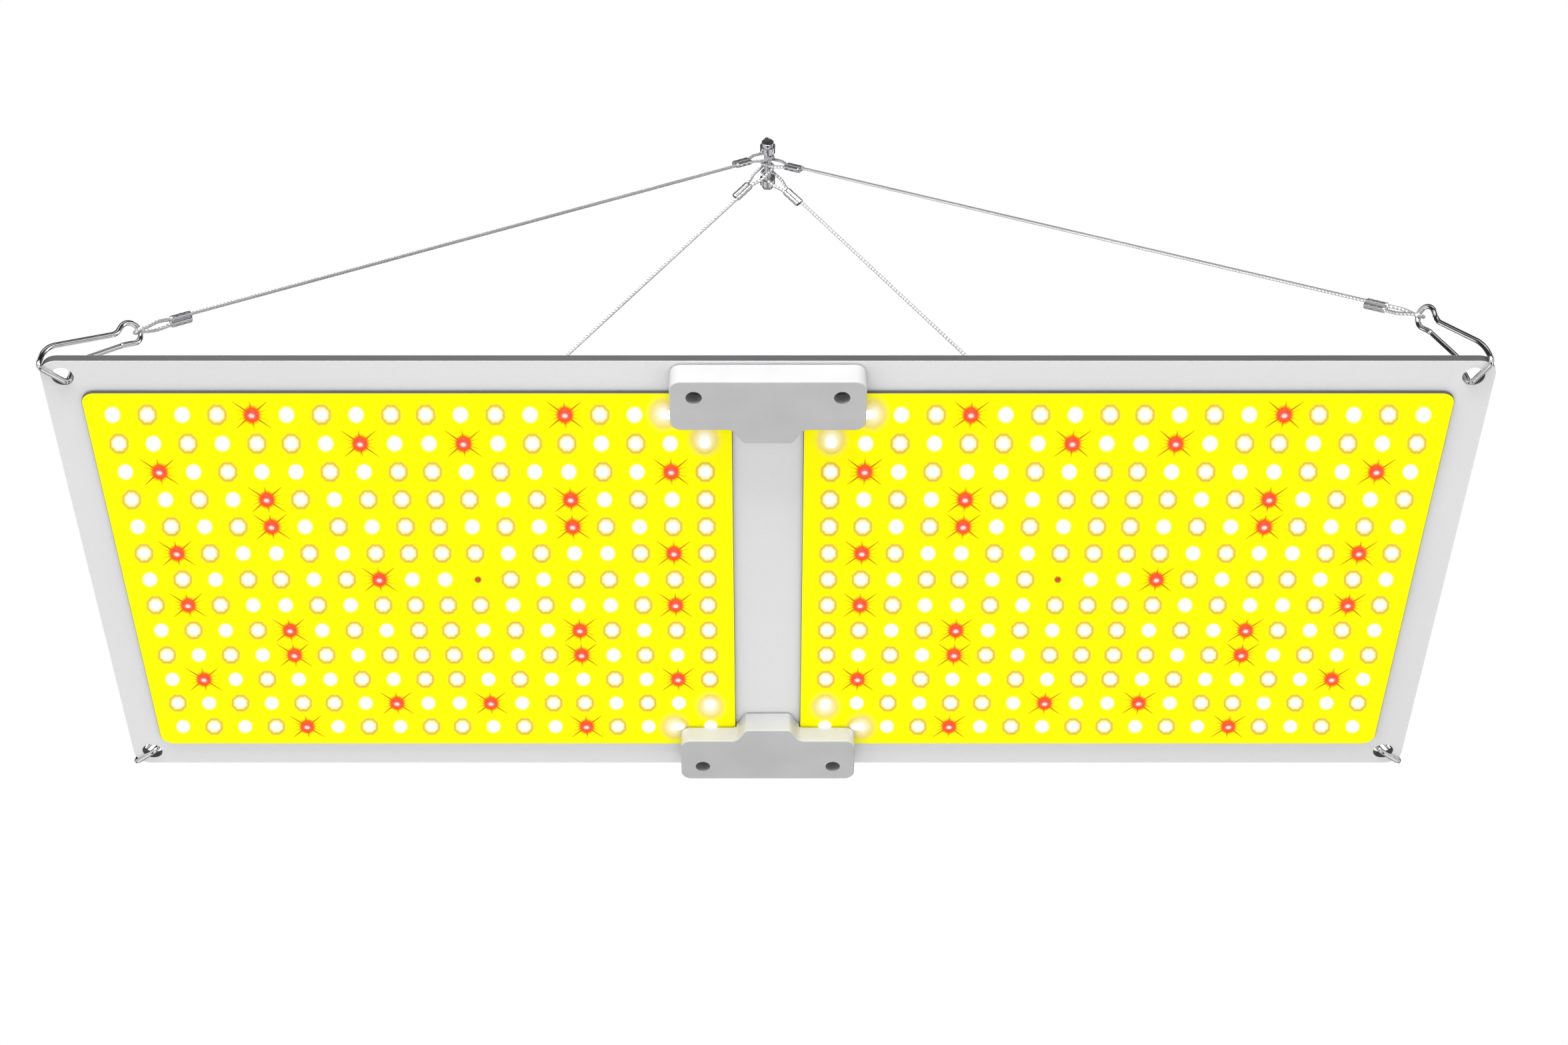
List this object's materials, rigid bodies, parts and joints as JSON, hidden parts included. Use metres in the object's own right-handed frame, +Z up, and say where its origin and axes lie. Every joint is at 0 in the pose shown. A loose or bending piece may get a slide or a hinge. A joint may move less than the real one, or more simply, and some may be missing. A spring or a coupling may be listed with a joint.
{
  "type": "led grow light",
  "caption": "Flat hanging LED grow light with two yellow LED boards, junction covers, a rear driver with a dimmer, and four wire ropes on snap hooks that meet at one shackle.",
  "frame": {"origin": "inside top of the shackle bow, where the lamp hangs from its support", "axes": "+Z up, +X along the lamp, +Y away from the side seen first; the LEDs face -Z"},
  "size_m": [0.6414, 0.274, 0.349],
  "materials": {
    "shackle": "bright zinc plate",
    "plate": "fine satin anodised",
    "led_board": "yellow solder mask",
    "thermal_pad": "soft grey silicone",
    "cool_led": "lit cool white phosphor",
    "warm_led": "lit warm white phosphor",
    "red_led": "lit red lens",
    "small_diode": "small unlit red lens",
    "cover": "fine satin moulding",
    "black_screw": "black oxide",
    "connector": "ivory moulding",
    "wire": "red insulation",
    "grommet": "matt rubber",
    "cable": "satin jacket",
    "driver_case": "satin anodised extrusion",
    "driver_cap": "powder coat",
    "steel_screw": "zinc plate",
    "bracket": "zinc plate",
    "circuit_board": "green solder mask",
    "transformer": "yellow tape over ferrite",
    "capacitor": "dark sleeve",
    "heat_bar": "mill finish",
    "gland": "black nylon",
    "knob": "black moulding",
    "hook": "nickel plate",
    "rope": "galvanised strands",
    "ferrule": "pressed, satin"
  },
  "bodies": {
    "shackle": {"shackle_bow": "shackle", "shackle_pin": "shackle"},
    "lamp": {"heatsink_plate": "plate", "left_led_board": "led_board", "right_led_board": "led_board", "left_thermal_pad": "thermal_pad", "right_thermal_pad": "thermal_pad", "left_cool_leds": "cool_led", "right_cool_leds": "cool_led", "left_warm_leds": "warm_led", "right_warm_leds": "warm_led", "left_red_leds": "red_led", "right_red_leds": "red_led", "board_diodes": "small_diode", "near_cover": "cover", "far_cover": "cover", "cover_screws": "black_screw", "board_connectors": "connector", "near_jumper_wires": "wire", "far_board_wires": "wire", "cable_grommet": "grommet", "dc_cable": "cable", "driver_case": "driver_case", "driver_left_cap": "driver_cap", "driver_right_cap": "driver_cap", "driver_cap_screws": "steel_screw", "driver_brackets": "bracket", "bracket_screws": "steel_screw", "driver_circuit_board": "circuit_board", "driver_transformer": "transformer", "driver_capacitors": "capacitor", "driver_heat_bar": "heat_bar", "dc_gland": "gland", "ac_gland": "gland", "dimmer_body": "gland", "near_left_hook": "hook", "near_left_rope": "rope", "near_right_hook": "hook", "near_right_rope": "rope", "far_left_hook": "hook", "far_left_rope": "rope", "far_right_hook": "hook", "far_right_rope": "rope", "lower_ferrules": "ferrule", "upper_ferrules": "ferrule"},
    "dimmer_knob": {"dimmer_knob": "knob"},
    "near_left_gate": {"near_left_gate": "hook"},
    "near_right_gate": {"near_right_gate": "hook"},
    "far_left_gate": {"far_left_gate": "hook"},
    "far_right_gate": {"far_right_gate": "hook"}
  },
  "joints": [
    {"name": "lamp_swing", "type": "hinge", "parent": "shackle", "child": "lamp", "pos_m": [0, 0, -0.013], "axis": [0, 1, 0], "range_deg": [-20, 20]},
    {"name": "dimmer_turn", "type": "hinge", "parent": "lamp", "child": "dimmer_knob", "pos_m": [0.1016, 0.014, -0.308], "axis": [1, 0, 0], "range_deg": [0, 270]},
    {"name": "near_left_gate_open", "type": "hinge", "parent": "lamp", "child": "near_left_gate", "pos_m": [-0.29062, -0.11997, -0.30571], "axis": [-0.6049, 0.747, 0.2756], "range_deg": [0, 12], "stiffness_Nm_per_rad": 0.05},
    {"name": "near_right_gate_open", "type": "hinge", "parent": "lamp", "child": "near_right_gate", "pos_m": [0.29825, -0.12339, -0.30109], "axis": [-0.824, -0.4951, -0.2756], "range_deg": [0, 12], "stiffness_Nm_per_rad": 0.05},
    {"name": "far_left_gate_open", "type": "hinge", "parent": "lamp", "child": "far_left_gate", "pos_m": [-0.29062, 0.11997, -0.30571], "axis": [0.6049, 0.747, -0.2756], "range_deg": [0, 12], "stiffness_Nm_per_rad": 0.05},
    {"name": "far_right_gate_open", "type": "hinge", "parent": "lamp", "child": "far_right_gate", "pos_m": [0.29062, 0.11997, -0.30571], "axis": [0.6049, -0.747, 0.2756], "range_deg": [0, 12], "stiffness_Nm_per_rad": 0.05}
  ]
}
